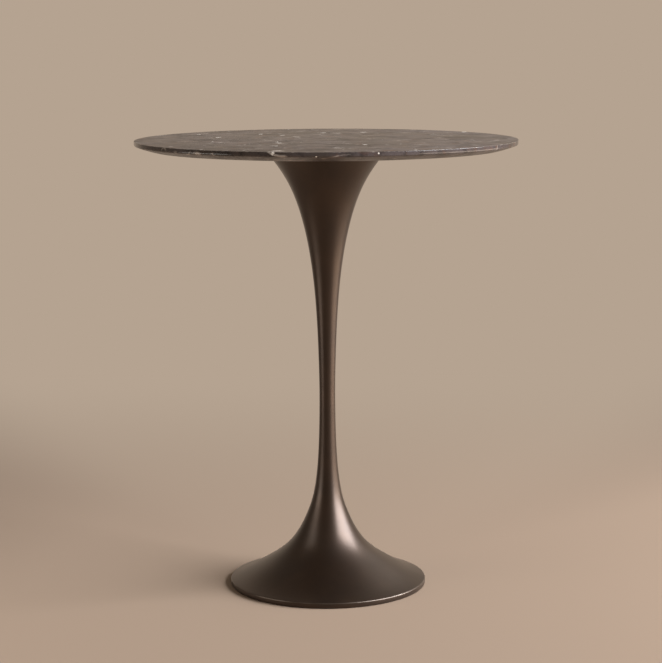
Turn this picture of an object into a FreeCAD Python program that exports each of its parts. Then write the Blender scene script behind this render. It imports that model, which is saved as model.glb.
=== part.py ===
import FreeCAD, Part
import math
import os
import Sketcher

# A bar table: a round stone top on a cast pedestal. The pedestal is two hollow castings, a
# flared foot and a trumpet, which meet at the narrowest place of the stem. One long rod pulls
# the plate under the stone down onto them. The origin is on the floor, on the table's axis.

doc = FreeCAD.newDocument("bar_table")
Vector = FreeCAD.Vector

# Driving sizes in millimetres, and counts. Heights are measured from the floor.
size_table = {
    # the table as a whole
    "table_height": 1070,
    "top_radius": 450,
    "stone_thickness": 22,
    "lip_height": 10,
    "bevel_width": 39,
    "bevel_round": 4,
    "top_arris": 1.5,
    # clearances: between turned fits, in slipping fits and glue lines, in easy holes, and at the
    # ends of fitted pieces
    "fit_gap": 0.05,
    "slip_gap": 0.1,
    "glue_gap": 0.1,
    "hole_gap": 0.5,
    "end_gap": 0.3,
    # how far a turning tool runs past a corner
    "overrun": 1,
    # the foot casting
    "rim_lift": 1,
    "rim_radius": 235,
    "rim_height": 12,
    "rim_arris": 1.2,
    "rim_foot_width": 10,
    "rim_wall": 5,
    "web_height": 150,
    "web_thickness": 12,
    # the neck, where the two castings meet
    "neck_height": 470,
    "neck_radius": 18.8,
    "neck_wall": 6.8,
    "sleeve_step": 2,
    "sleeve_wall": 4,
    "sleeve_length": 60,
    "sleeve_chamfer": 0.8,
    # the mouth of the trumpet
    "mouth_radius": 147,
    "mouth_gap": 0.5,
    "mouth_wall": 16.5,
    "mouth_core_wall": 22,
    "mouth_round": 1,
    "ledge_width": 15,
    "ledge_thickness": 8,
    # the plate under the stone
    "plate_thickness": 6,
    "plate_chamfer": 0.8,
    "gasket_thickness": 1.5,
    "gasket_inset": 1,
    "screw_count": 8,
    "screw_inset": 40,
    "screw_radius": 3,
    "screw_head_radius": 6,
    "screw_length": 17,
    "screw_socket_width": 4,
    "screw_socket_depth": 2,
    "insert_radius": 4.5,
    "insert_waist_radius": 4,
    "insert_length": 13,
    "insert_waist_length": 5,
    # the rod and what holds it
    "rod_radius": 6,
    "rod_chamfer": 1,
    "rod_tail": 6,
    "rod_grip": 28,
    "hub_radius": 17,
    "hub_length": 30,
    "hub_chamfer": 1,
    "hub_spigot_radius": 10,
    "hub_spigot_length": 5,
    "weld_leg": 4,
    "rod_washer_radius": 18,
    "rod_washer_thickness": 3,
    "lock_washer_radius": 10.5,
    "lock_washer_thickness": 2.5,
    "lock_washer_split": 2,
    "nut_width": 18,
    "nut_height": 10.8,
    # the ballast in the foot
    "ballast_bore_radius": 62,
    "ballast_side_gap": 16,
    "ballast_height": 12,
    "ballast_thickness": 24,
    "ballast_chamfer": 2,
    "ballast_bolt_count": 4,
    "ballast_boss_radius": 12,
    "bolt_radius": 4,
    "bolt_length": 35,
    "bolt_head_width": 13,
    "bolt_head_height": 5.3,
    "bolt_recess_radius": 11,
    "bolt_recess_depth": 9,
    "bolt_washer_radius": 8.5,
    "bolt_washer_thickness": 1.6,
    # the levelling glides
    "glide_count": 4,
    "glide_inset": 47,
    "glide_boss_radius": 11,
    "pad_radius": 14,
    "pad_round": 1.5,
    "pad_floor": 1.7,
    "ball_radius": 4,
    "stud_radius": 4,
    "stud_grip": 12,
    "stud_neck_radius": 2.5,
    "stud_chamfer": 0.8,
    "collar_width": 13,
    "collar_height": 3,
    "collar_gap": 0.2,
}

# Where the outline of each flare is drawn, as shares of its reach outwards and of its height.
# The foot is drawn from its rim up to the neck, the trumpet from the neck up to its mouth.
foot_flare_shares = ((0, 0), (0.15, 0.023), (0.36, 0.08), (0.685, 0.18), (0.88, 0.35), (1, 0.55), (1, 1))
trumpet_flare_shares = ((0, 0), (0, 0.02), (0.02, 0.38), (0.27, 0.74), (0.62, 0.91), (1, 1))
# The slope under the stone's edge swells a little: shares of its width and of its height.
bevel_shares = ((0, 0), (0.55, 0.42), (1, 1))
# How far the top of a glide's pad closes over the ball, as a share of the ball's radius
ball_cover_share = 0.675

full_turn = 360
glide_turn = 45

sheet = doc.addObject("Spreadsheet::Sheet", "sizes")
for row, (alias, value) in enumerate(size_table.items(), start=1):
    sheet.set(f"A{row}", alias)
    sheet.set(f"B{row}", str(value))
    sheet.setAlias(f"B{row}", alias)
doc.recompute()


# A length together with the formula that gives it, so that each drawn point follows the sheet
class Size:
    def __init__(self, value, formula):
        self.value = value
        self.formula = formula

    def __add__(self, other):
        return Size(self.value + other.value, f"({self.formula} + {other.formula})")

    def __sub__(self, other):
        return Size(self.value - other.value, f"({self.formula} - {other.formula})")

    def __rmul__(self, share):
        return Size(share * self.value, f"({share} * {self.formula})")

    def __neg__(self):
        return Size(-self.value, f"(-{self.formula})")


class Cells:
    def __getattr__(self, alias):
        return Size(size_table[alias], f"sizes.{alias}")


cell = Cells()
nothing = Size(0, "0")
centre = (nothing, nothing)

# How a drawing counts its own origin, and the places on each thing drawn in it
origin_number = -1
drawn_places = ("whole", "start", "end", "middle")
curve_degree = 3
touch = 0.001
corner_share = 1 / math.sqrt(3)
flat_share = 1 / 2


def bind(feature, name, size):
    feature.setExpression(name, size.formula)


def origin_feature(body, role):
    return next(item for item in body.Origin.OriginFeatures if item.Role == role)


def new_body(label):
    body = doc.addObject("PartDesign::Body", label)
    body.Label = label
    body.AllowCompound = True
    return body


# The place of a point on a circle round the axis, at a turn in degrees from the X direction
def on_circle(radius, turn=0):
    if turn == 0:
        return radius, nothing
    return math.cos(math.radians(turn)) * radius, math.sin(math.radians(turn)) * radius


def attach(body, feature, role, offsets):
    feature.AttachmentSupport = [(origin_feature(body, role), "")]
    feature.MapMode = "FlatFace"
    for direction, size in zip("xyz", offsets):
        bind(feature, f"AttachmentOffset.Base.{direction}", size)


def place_number(place):
    return drawn_places.index(place)


def pin_point(sketch, geometry, place, point):
    origin = (origin_number, place_number("start"))
    for kind, size in zip(("DistanceX", "DistanceY"), point):
        rule = Sketcher.Constraint(kind, *origin, geometry, place_number(place), size.value)
        index = sketch.addConstraint(rule)
        sketch.setExpression(f"Constraints[{index}]", size.formula)


# A closed outline from runs that follow one another. A run of two points is straight, and one
# of more points is a smooth curve drawn towards them.
def draw_outline(sketch, runs):
    first_ends = []
    for run in runs:
        points = [Vector(across.value, up.value, 0) for across, up in run]
        if len(points) == 2:
            index = sketch.addGeometry(Part.LineSegment(points[0], points[1]), False)
            pin_point(sketch, index, "start", run[0])
        else:
            degree = min(len(points) - 1, curve_degree)
            curve = Part.BSplineCurve(points, None, None, False, degree, None, False)
            index = sketch.addGeometry(curve, False)
            sketch.exposeInternalGeometry(index)
            for pole, point in enumerate(run[:-1], start=1):
                pin_point(sketch, index + pole, "middle", point)
        first_ends.append(index)
    meeting = (place_number("end"), place_number("start"))
    for index, following in zip(first_ends, first_ends[1:] + first_ends[:1]):
        rule = Sketcher.Constraint("Coincident", index, meeting[0], following, meeting[1])
        sketch.addConstraint(rule)


# Straight runs through the points, and back to the first when the outline is closed
def straight_runs(points, closed=True):
    following = points[1:] + (points[:1] if closed else [])
    return [list(run) for run in zip(points, following)]


# The points of a curve, between the corners where its shares are zero and one
def curve_points(shares, foot, head):
    points = []
    for across, up in shares:
        points.append((foot[0] + across * (head[0] - foot[0]), foot[1] + up * (head[1] - foot[1])))
    return points


def turn_outline(body, name, runs, place=centre, cut=False):
    sketch = body.newObject("Sketcher::SketchObject", f"{name}_outline")
    attach(body, sketch, "XZ_Plane", (place[0], nothing, -place[1]))
    draw_outline(sketch, runs)
    feature = body.newObject("PartDesign::Groove" if cut else "PartDesign::Revolution", name)
    feature.Profile = sketch
    feature.ReferenceAxis = (sketch, ["V_Axis"])
    feature.Angle = full_turn
    body.Tip = feature
    doc.recompute()
    return feature


def primitive(body, name, shape, cut, height, place, sizes):
    feature = body.newObject(f"PartDesign::{'Subtractive' if cut else 'Additive'}{shape}", name)
    attach(body, feature, "XY_Plane", (*place, height))
    for prop, size in sizes.items():
        bind(feature, prop, size)
    body.Tip = feature
    doc.recompute()
    return feature


def cylinder(body, name, height, length, radius, place=centre, cut=False):
    return primitive(body, name, "Cylinder", cut, height, place, {"Radius": radius, "Height": length})


def cone(body, name, height, length, lower, upper, place=centre, cut=False):
    sizes = {"Radius1": lower, "Radius2": upper, "Height": length}
    return primitive(body, name, "Cone", cut, height, place, sizes)


# A hexagonal bar or socket, by its width between opposite flats
def hexagon(body, name, height, length, width, place=centre, cut=False):
    sizes = {"Circumradius": corner_share * width, "Height": length}
    return primitive(body, name, "Prism", cut, height, place, sizes)


# Turns the corners of a hexagon off at one end, on a slope of thirty degrees
def turn_corners(body, name, face, into, width, place=centre):
    flat = flat_share * width
    corner = corner_share * width + cell.overrun
    depth = corner_share * (corner - flat)
    level = face + depth if into == "up" else face - depth
    runs = straight_runs([(flat, face), (corner, face), (corner, level)])
    return turn_outline(body, name, runs, place, cut=True)


def repeat_round(body, name, features, count):
    pattern = body.newObject("PartDesign::PolarPattern", name)
    pattern.Originals = features
    pattern.Axis = (origin_feature(body, "Z_Axis"), [""])
    pattern.Angle = full_turn
    bind(pattern, "Occurrences", count)
    body.Tip = pattern
    doc.recompute()
    return pattern


# Rounds or chamfers the round edges that have this radius and lie at this height
def dress_edges(body, kind, size, places):
    feature_before = body.Tip
    names = []
    for number, edge in enumerate(feature_before.Shape.Edges, start=1):
        if edge.Degenerated or not isinstance(edge.Curve, Part.Circle):
            continue
        for radius, height in places:
            same_radius = math.isclose(edge.Curve.Radius, radius.value, abs_tol=touch)
            same_height = math.isclose(edge.Curve.Center.z, height.value, abs_tol=touch)
            if same_radius and same_height:
                names.append(f"Edge{number}")
    feature = body.newObject(f"PartDesign::{kind}", kind.lower())
    feature.Base = (feature_before, names)
    bind(feature, "Radius" if kind == "Fillet" else "Size", size)
    body.Tip = feature
    doc.recompute()
    return feature


# Heights and places that several pieces share
underside = cell.table_height - cell.stone_thickness
plate_top = underside - cell.gasket_thickness
plate_base = plate_top - cell.plate_thickness
mouth_top = underside - cell.mouth_gap
ledge_base = plate_base - cell.ledge_thickness
rebate_radius = cell.mouth_radius - cell.mouth_wall
plate_radius = rebate_radius - cell.hole_gap
ledge_radius = plate_radius - cell.ledge_width
screw_circle = plate_radius - cell.screw_inset
rim_top = cell.rim_lift + cell.rim_height
neck_core_radius = cell.neck_radius - cell.neck_wall
sleeve_radius = neck_core_radius + cell.sleeve_step
sleeve_base = cell.neck_height - 0.5 * cell.sleeve_length
sleeve_top = cell.neck_height + 0.5 * cell.sleeve_length
rod_washer_base = cell.web_height - cell.rod_washer_thickness
lock_washer_base = rod_washer_base - cell.lock_washer_thickness
nut_base = lock_washer_base - cell.nut_height
rod_base = nut_base - cell.rod_tail
hub_base = plate_base - cell.hub_length
rod_top = hub_base + cell.rod_grip
glide_circle = cell.rim_radius - cell.glide_inset
ballast_radius = glide_circle - cell.pad_radius - cell.ballast_side_gap
ballast_bolt_circle = 0.5 * (ballast_radius + cell.ballast_bore_radius)
boss_face = cell.ballast_height + cell.ballast_thickness
bolt_seat = cell.ballast_height + cell.bolt_recess_depth
bolt_washer_base = bolt_seat - cell.bolt_washer_thickness
bolt_head_base = bolt_washer_base - cell.bolt_head_height
ball_height = cell.pad_floor + cell.ball_radius + cell.slip_gap
pad_height = ball_height + ball_cover_share * cell.ball_radius
collar_base = pad_height + cell.collar_gap
glide_boss_base = collar_base + cell.collar_height + cell.end_gap


def stone_top():
    body = new_body("stone_top")
    lip_base = cell.table_height - cell.lip_height
    flat_corner = (cell.top_radius - cell.bevel_width, underside)
    lip_corner = (cell.top_radius, lip_base)
    top_corner = (cell.top_radius, cell.table_height)
    runs = [[(nothing, underside), flat_corner]]
    runs.append(curve_points(bevel_shares, flat_corner, lip_corner))
    runs += straight_runs([lip_corner, top_corner, (nothing, cell.table_height)], closed=False)
    runs.append([(nothing, cell.table_height), (nothing, underside)])
    turn_outline(body, "slab", runs)
    dress_edges(body, "Fillet", cell.bevel_round, [lip_corner])
    dress_edges(body, "Fillet", cell.top_arris, [top_corner])
    depth = cell.insert_length + cell.hole_gap
    hole = cylinder(body, "insert_hole", underside, depth, cell.insert_radius + cell.glue_gap,
                    on_circle(screw_circle), cut=True)
    repeat_round(body, "insert_holes", [hole], cell.screw_count)
    return body


# Brass inserts glued into the stone: two bands with a waist between them that keys the glue
def stone_inserts():
    body = new_body("stone_inserts")
    band = 0.5 * (cell.insert_length - cell.insert_waist_length)
    place = on_circle(screw_circle)
    features = [
        cylinder(body, "waist", underside, cell.insert_length, cell.insert_waist_radius, place),
        cylinder(body, "lower_band", underside, band, cell.insert_radius, place),
        cylinder(body, "upper_band", underside + band + cell.insert_waist_length, band,
                 cell.insert_radius, place),
        cylinder(body, "thread_bore", underside, cell.insert_length, cell.screw_radius + cell.fit_gap,
                 place, cut=True),
    ]
    repeat_round(body, "inserts", features, cell.screw_count)
    return body


def top_gasket():
    body = new_body("top_gasket")
    cylinder(body, "disc", plate_top, cell.gasket_thickness, plate_radius - cell.gasket_inset)
    hole = cylinder(body, "screw_hole", plate_top, cell.gasket_thickness,
                    cell.screw_radius + cell.hole_gap, on_circle(screw_circle), cut=True)
    repeat_round(body, "screw_holes", [hole], cell.screw_count)
    return body


# The steel plate, countersunk from below, with a centre hole for the spigot of its hub
def mounting_plate():
    body = new_body("mounting_plate")
    cylinder(body, "disc", plate_base, cell.plate_thickness, plate_radius)
    dress_edges(body, "Chamfer", cell.plate_chamfer, [(plate_radius, plate_base)])
    cylinder(body, "spigot_hole", plate_base, cell.plate_thickness,
             cell.hub_spigot_radius + cell.fit_gap, cut=True)
    place = on_circle(screw_circle)
    shank_hole = cell.screw_radius + cell.hole_gap
    head_hole = cell.screw_head_radius + cell.fit_gap
    features = [
        cylinder(body, "screw_hole", plate_base, cell.plate_thickness, shank_hole, place, cut=True),
        cone(body, "countersink", plate_base, head_hole - shank_hole, head_hole, shank_hole,
             place, cut=True),
    ]
    repeat_round(body, "screw_holes", features, cell.screw_count)
    return body


# Countersunk screws with a hexagon socket, driven up through the plate into the inserts
def plate_screws():
    body = new_body("plate_screws")
    place = on_circle(screw_circle)
    head_height = cell.screw_head_radius - cell.screw_radius
    features = [
        cone(body, "head", plate_base, head_height, cell.screw_head_radius, cell.screw_radius, place),
        cylinder(body, "shank", plate_base, cell.screw_length, cell.screw_radius, place),
        hexagon(body, "socket", plate_base, cell.screw_socket_depth, cell.screw_socket_width,
                place, cut=True),
    ]
    repeat_round(body, "screws", features, cell.screw_count)
    return body


# The boss under the plate: its spigot sits in the plate and a bead of weld runs round it
def plate_hub():
    body = new_body("plate_hub")
    cylinder(body, "boss", hub_base, cell.hub_length, cell.hub_radius)
    cone(body, "weld_bead", plate_base - cell.weld_leg, cell.weld_leg, cell.hub_radius,
         cell.hub_radius + cell.weld_leg)
    cylinder(body, "spigot", plate_base, cell.hub_spigot_length, cell.hub_spigot_radius)
    cylinder(body, "thread_bore", hub_base, cell.hub_length + cell.hub_spigot_length,
             cell.rod_radius + cell.fit_gap, cut=True)
    dress_edges(body, "Chamfer", cell.hub_chamfer, [(cell.hub_radius, hub_base)])
    return body


# The trumpet. Its core follows the outside at a wall that its own mouth radius sets, and ends
# under a ledge that carries the plate.
def upper_column():
    body = new_body("upper_column")
    neck = (cell.neck_radius, cell.neck_height)
    mouth = (cell.mouth_radius, mouth_top)
    runs = [[(nothing, cell.neck_height), neck]]
    runs.append(curve_points(trumpet_flare_shares, neck, mouth))
    runs += straight_runs([mouth, (nothing, mouth_top), (nothing, cell.neck_height)], closed=False)
    turn_outline(body, "trumpet", runs)
    dress_edges(body, "Fillet", cell.mouth_round, [mouth])
    core_neck = (neck_core_radius, cell.neck_height)
    core_mouth = (cell.mouth_radius - cell.mouth_core_wall, ledge_base)
    corners = [
        core_mouth,
        (ledge_radius, ledge_base),
        (ledge_radius, plate_base),
        (rebate_radius, plate_base),
        (rebate_radius, mouth_top),
        (nothing, mouth_top),
        (nothing, cell.neck_height),
    ]
    runs = [[(nothing, cell.neck_height), core_neck]]
    runs.append(curve_points(trumpet_flare_shares, core_neck, core_mouth))
    runs += straight_runs(corners, closed=False)
    turn_outline(body, "core", runs, cut=True)
    depth = 0.5 * cell.sleeve_length + cell.end_gap
    cylinder(body, "sleeve_seat", cell.neck_height, depth, sleeve_radius + cell.fit_gap, cut=True)
    return body


def neck_sleeve():
    body = new_body("neck_sleeve")
    cylinder(body, "tube", sleeve_base, cell.sleeve_length, sleeve_radius)
    cylinder(body, "bore", sleeve_base, cell.sleeve_length, sleeve_radius - cell.sleeve_wall,
             cut=True)
    ends = [(sleeve_radius, sleeve_base), (sleeve_radius, sleeve_top)]
    dress_edges(body, "Chamfer", cell.sleeve_chamfer, ends)
    return body


# The hollow of the foot as the core that forms it: the web across the stem, and the bosses for
# the ballast and the glides, are missing from it
def foot_core():
    body = new_body("foot_core")
    rim = (cell.rim_radius - cell.rim_foot_width, rim_top - cell.rim_wall)
    neck = (neck_core_radius, cell.neck_height)
    rim_foot = (cell.rim_radius - cell.rim_foot_width, cell.rim_lift)
    runs = [[(nothing, cell.rim_lift), rim_foot], [rim_foot, rim]]
    runs.append(curve_points(foot_flare_shares, rim, neck))
    runs += straight_runs([neck, (nothing, cell.neck_height), (nothing, cell.rim_lift)], closed=False)
    turn_outline(body, "hollow", runs)
    cylinder(body, "web", cell.web_height, cell.web_thickness, cell.rim_radius, cut=True)
    ballast_boss = cylinder(body, "ballast_boss", boss_face, cell.web_height - boss_face,
                            cell.ballast_boss_radius, on_circle(ballast_bolt_circle), cut=True)
    repeat_round(body, "ballast_bosses", [ballast_boss], cell.ballast_bolt_count)
    glide_boss = cylinder(body, "glide_boss", glide_boss_base,
                          cell.web_height - glide_boss_base, cell.glide_boss_radius,
                          on_circle(glide_circle, glide_turn), cut=True)
    repeat_round(body, "glide_bosses", [glide_boss], cell.glide_count)
    return body


def base_bell():
    body = new_body("base_bell")
    rim = (cell.rim_radius, rim_top)
    neck = (cell.neck_radius, cell.neck_height)
    rim_foot = (cell.rim_radius, cell.rim_lift)
    runs = [[(nothing, cell.rim_lift), rim_foot], [rim_foot, rim]]
    runs.append(curve_points(foot_flare_shares, rim, neck))
    runs += straight_runs([neck, (nothing, cell.neck_height), (nothing, cell.rim_lift)], closed=False)
    turn_outline(body, "bell", runs)
    dress_edges(body, "Fillet", cell.rim_arris, [rim])
    hollow = body.newObject("PartDesign::Boolean", "hollow")
    hollow.Type = "Cut"
    hollow.addObject(foot_core())
    body.Tip = hollow
    doc.recompute()
    cylinder(body, "sleeve_seat", sleeve_base, 0.5 * cell.sleeve_length,
             sleeve_radius + cell.fit_gap, cut=True)
    cylinder(body, "rod_hole", cell.web_height, cell.web_thickness,
             cell.rod_radius + cell.hole_gap, cut=True)
    thread_depth = cell.bolt_length - (boss_face - bolt_seat) + cell.end_gap
    bolt_hole = cylinder(body, "bolt_hole", boss_face, thread_depth, cell.bolt_radius + cell.fit_gap,
                         on_circle(ballast_bolt_circle), cut=True)
    repeat_round(body, "bolt_holes", [bolt_hole], cell.ballast_bolt_count)
    stud_hole = cylinder(body, "stud_hole", glide_boss_base, cell.stud_grip + cell.end_gap,
                         cell.stud_radius + cell.fit_gap, on_circle(glide_circle, glide_turn),
                         cut=True)
    repeat_round(body, "stud_holes", [stud_hole], cell.glide_count)
    return body


def tie_rod():
    body = new_body("tie_rod")
    cylinder(body, "rod", rod_base, rod_top - rod_base, cell.rod_radius)
    ends = [(cell.rod_radius, rod_base), (cell.rod_radius, rod_top)]
    dress_edges(body, "Chamfer", cell.rod_chamfer, ends)
    return body


def rod_washer():
    body = new_body("rod_washer")
    cylinder(body, "disc", rod_washer_base, cell.rod_washer_thickness, cell.rod_washer_radius)
    cylinder(body, "bore", rod_washer_base, cell.rod_washer_thickness,
             cell.rod_radius + cell.hole_gap, cut=True)
    return body


# A spring ring, pressed flat, with the split that makes it spring
def rod_lock_washer():
    body = new_body("rod_lock_washer")
    cylinder(body, "ring", lock_washer_base, cell.lock_washer_thickness, cell.lock_washer_radius)
    cylinder(body, "bore", lock_washer_base, cell.lock_washer_thickness,
             cell.rod_radius + cell.slip_gap, cut=True)
    sizes = {
        "Length": cell.lock_washer_radius,
        "Width": cell.lock_washer_split,
        "Height": cell.lock_washer_thickness,
    }
    primitive(body, "split", "Box", True, lock_washer_base, centre, sizes)
    return body


def rod_nut():
    body = new_body("rod_nut")
    hexagon(body, "hexagon", nut_base, cell.nut_height, cell.nut_width)
    turn_corners(body, "lower_corners", nut_base, "up", cell.nut_width)
    turn_corners(body, "upper_corners", lock_washer_base, "down", cell.nut_width)
    cylinder(body, "thread_bore", nut_base, cell.nut_height, cell.rod_radius + cell.fit_gap, cut=True)
    return body


def ballast_ring():
    body = new_body("ballast_ring")
    base = cell.ballast_height
    cylinder(body, "disc", base, cell.ballast_thickness, ballast_radius)
    cylinder(body, "bore", base, cell.ballast_thickness, cell.ballast_bore_radius, cut=True)
    edges = [(ballast_radius, base), (ballast_radius, boss_face)]
    edges += [(cell.ballast_bore_radius, base), (cell.ballast_bore_radius, boss_face)]
    dress_edges(body, "Chamfer", cell.ballast_chamfer, edges)
    place = on_circle(ballast_bolt_circle)
    features = [
        cylinder(body, "bolt_hole", base, cell.ballast_thickness, cell.bolt_radius + cell.hole_gap,
                 place, cut=True),
        cylinder(body, "bolt_recess", base, cell.bolt_recess_depth, cell.bolt_recess_radius,
                 place, cut=True),
    ]
    repeat_round(body, "bolt_holes", features, cell.ballast_bolt_count)
    return body


def ballast_bolts():
    body = new_body("ballast_bolts")
    place = on_circle(ballast_bolt_circle)
    features = [
        hexagon(body, "head", bolt_head_base, cell.bolt_head_height, cell.bolt_head_width, place),
        turn_corners(body, "head_corners", bolt_head_base, "up", cell.bolt_head_width, place),
        cylinder(body, "shank", bolt_washer_base, cell.bolt_length, cell.bolt_radius, place),
    ]
    repeat_round(body, "bolts", features, cell.ballast_bolt_count)
    return body


def ballast_washers():
    body = new_body("ballast_washers")
    place = on_circle(ballast_bolt_circle)
    features = [
        cylinder(body, "disc", bolt_washer_base, cell.bolt_washer_thickness, cell.bolt_washer_radius,
                 place),
        cylinder(body, "bore", bolt_washer_base, cell.bolt_washer_thickness,
                 cell.bolt_radius + cell.slip_gap, place, cut=True),
    ]
    repeat_round(body, "washers", features, cell.ballast_bolt_count)
    return body


# The place of one glide: on a circle under the rim, midway between the table's own directions
def place_glide(body, number):
    turn = glide_turn + full_turn * number / size_table["glide_count"]
    for direction, size in zip("xy", on_circle(glide_circle, turn)):
        bind(body, f"Placement.Base.{direction}", size)
    doc.recompute()


# The moulded foot of a glide, with a socket that the stud's ball snaps into
def glide_pad(number):
    body = new_body(f"glide_pad_{number + 1}")
    cylinder(body, "pad", nothing, pad_height, cell.pad_radius)
    ends = [(cell.pad_radius, nothing), (cell.pad_radius, pad_height)]
    dress_edges(body, "Fillet", cell.pad_round, ends)
    sizes = {"Radius": cell.ball_radius + cell.slip_gap}
    primitive(body, "socket", "Sphere", True, ball_height, centre, sizes)
    place_glide(body, number)
    return body


# The threaded stud of a glide: a ball in the pad, a neck, a collar for a spanner and the thread
def glide_stud(number):
    body = new_body(f"glide_stud_{number + 1}")
    primitive(body, "ball", "Sphere", False, ball_height, centre, {"Radius": cell.ball_radius})
    cylinder(body, "neck", ball_height, collar_base - ball_height, cell.stud_neck_radius)
    hexagon(body, "collar", collar_base, cell.collar_height, cell.collar_width)
    thread_base = collar_base + cell.collar_height
    stud_top = glide_boss_base + cell.stud_grip
    cylinder(body, "thread", thread_base, stud_top - thread_base, cell.stud_radius)
    dress_edges(body, "Chamfer", cell.stud_chamfer, [(cell.stud_radius, stud_top)])
    place_glide(body, number)
    return body


nodes = [
    stone_top(),
    stone_inserts(),
    top_gasket(),
    mounting_plate(),
    plate_screws(),
    plate_hub(),
    upper_column(),
    neck_sleeve(),
    base_bell(),
    tie_rod(),
    rod_washer(),
    rod_lock_washer(),
    rod_nut(),
    ballast_ring(),
    ballast_bolts(),
    ballast_washers(),
]
for number in range(size_table["glide_count"]):
    nodes.append(glide_pad(number))
    nodes.append(glide_stud(number))

doc.recompute()

for item in doc.Objects:
    if "Invalid" in item.State or "Error" in item.State:
        raise RuntimeError(f"{item.Label} did not build: {item.State}")
    removes = "Subtractive" in item.TypeId or item.TypeId == "PartDesign::Groove"
    if removes and item.Shape.Volume >= item.BaseFeature.Shape.Volume:
        raise RuntimeError(f"{item.Label} removed nothing")

os.makedirs("parts", exist_ok=True)
for body in nodes:
    if body.Shape.isNull() or not body.Shape.isValid():
        raise RuntimeError(f"{body.Label} has no sound shape")
for body in nodes:
    body.Shape.exportStep(f"parts/{body.Label}.step")
    print(f"{body.Label}: {len(body.Shape.Solids)} solids, {body.Shape.Volume:.0f} mm3")
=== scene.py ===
import bmesh
import bpy
import math
from mathutils import Matrix, Vector


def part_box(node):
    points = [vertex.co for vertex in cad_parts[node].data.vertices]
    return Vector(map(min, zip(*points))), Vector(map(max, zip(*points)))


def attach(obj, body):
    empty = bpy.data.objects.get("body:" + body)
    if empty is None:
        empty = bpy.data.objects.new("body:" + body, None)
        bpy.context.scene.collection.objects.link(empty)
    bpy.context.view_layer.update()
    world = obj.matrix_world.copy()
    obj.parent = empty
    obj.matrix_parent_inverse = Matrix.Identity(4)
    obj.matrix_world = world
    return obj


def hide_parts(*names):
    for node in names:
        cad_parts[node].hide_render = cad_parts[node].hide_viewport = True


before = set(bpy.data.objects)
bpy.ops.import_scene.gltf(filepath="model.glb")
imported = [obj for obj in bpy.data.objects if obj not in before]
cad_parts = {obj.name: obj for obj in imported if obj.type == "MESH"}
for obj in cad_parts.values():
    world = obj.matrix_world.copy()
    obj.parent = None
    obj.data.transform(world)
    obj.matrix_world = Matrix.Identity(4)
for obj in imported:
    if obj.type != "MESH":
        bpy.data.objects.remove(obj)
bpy.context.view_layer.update()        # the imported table, in metres, standing on z = 0
mm = 0.001
scene = bpy.context.scene
scene.view_settings.view_transform = "Standard"
print("frame loaded:", len(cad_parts), "nodes")


# shared tools

drawing = {
    "overrun": 1 * mm,              # how far cutters and joined parts reach past the face they meet
    "joinWithin": 0.001 * mm,       # points this close are one point
    "levelWithin": 0.01 * mm,       # points this close in height are level
    "threadJoin": 0.01 * mm,        # points this close on a thread are one point
    "flatFrom": 0.9999,             # a face whose normal is at least this upright lies flat
    "roundSteps": 5, "edgeSteps": 3, "holeSides": 48,
}


def linearColour(hexCode):
    # sRGB hex to the linear colour that a socket takes
    shares = [int(hexCode[i:i + 2], 16) / 255 for i in (1, 3, 5)]
    return [c / 12.92 if c <= 0.04045 else ((c + 0.055) / 1.055) ** 2.4 for c in shares] + [1]


def addNode(tree, kind, settings=None, links=None):
    # settings and links go by socket name or number; a name that isn't a socket's is the node's own
    node = tree.nodes.new("ShaderNode" + kind)
    for name, value in (settings or {}).items():
        if isinstance(name, int) or name in node.inputs:
            node.inputs[name].default_value = value
        else:
            setattr(node, name, value)
    for name, source in (links or {}).items():
        tree.links.new(source, node.inputs[name])
    return node


def startMaterial(name, shader):
    # a material with its surface shader, and the piece's own coordinates in millimetres
    material = bpy.data.materials.new(name)
    material.use_nodes = True
    tree = material.node_tree
    tree.nodes.clear()
    surface = addNode(tree, "BsdfPrincipled", shader)
    addNode(tree, "OutputMaterial", links={"Surface": surface.outputs[0]})
    place = addNode(tree, "TexCoord").outputs["Object"]
    inMillimetres = addNode(tree, "Mapping", {"Scale": (1 / mm,) * 3}, {"Vector": place})
    return material, tree, surface, inMillimetres.outputs[0]


def nurbsPoints(poles, degree, perSpan):
    # points along a smooth outline drawn towards its poles, each pole (radius, height)
    curve = bpy.data.curves.new("outline", "CURVE")
    curve.dimensions = "3D"
    spline = curve.splines.new("NURBS")
    spline.points.add(len(poles) - 1)
    for point, (radius, height) in zip(spline.points, poles):
        point.co = (radius, 0, height, 1)
    spline.order_u = degree + 1
    spline.use_endpoint_u = True
    spline.resolution_u = perSpan
    holder = bpy.data.objects.new("outline", curve)
    scene.collection.objects.link(holder)
    mesh = bpy.data.meshes.new_from_object(holder)
    points = [(v.co.x, v.co.z) for v in mesh.vertices]
    bpy.data.objects.remove(holder)
    bpy.data.curves.remove(curve)
    bpy.data.meshes.remove(mesh)
    return points


def flarePoints(shares, foot, head, degree=3, perSpan=14):
    # a flare between two corners, from shares of its reach and of its height
    poles = []
    for across, up in shares:
        poles.append((foot[0] + across * (head[0] - foot[0]), foot[1] + up * (head[1] - foot[1])))
    return nurbsPoints(poles, degree, perSpan)


def stretchBetween(points, low, high):
    # the part of an outline between two heights, with a point worked out at each of them
    low, high = max(low, points[0][1]), min(high, points[-1][1])
    kept = []
    for height in (low, high):
        for (r0, z0), (r1, z1) in zip(points, points[1:]):
            if z0 <= height <= z1:
                share = (height - z0) / (z1 - z0)
                kept.append((r0 + share * (r1 - r0), height))
                break
    return [kept[0]] + [p for p in points if low < p[1] < high] + [kept[-1]]


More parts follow.
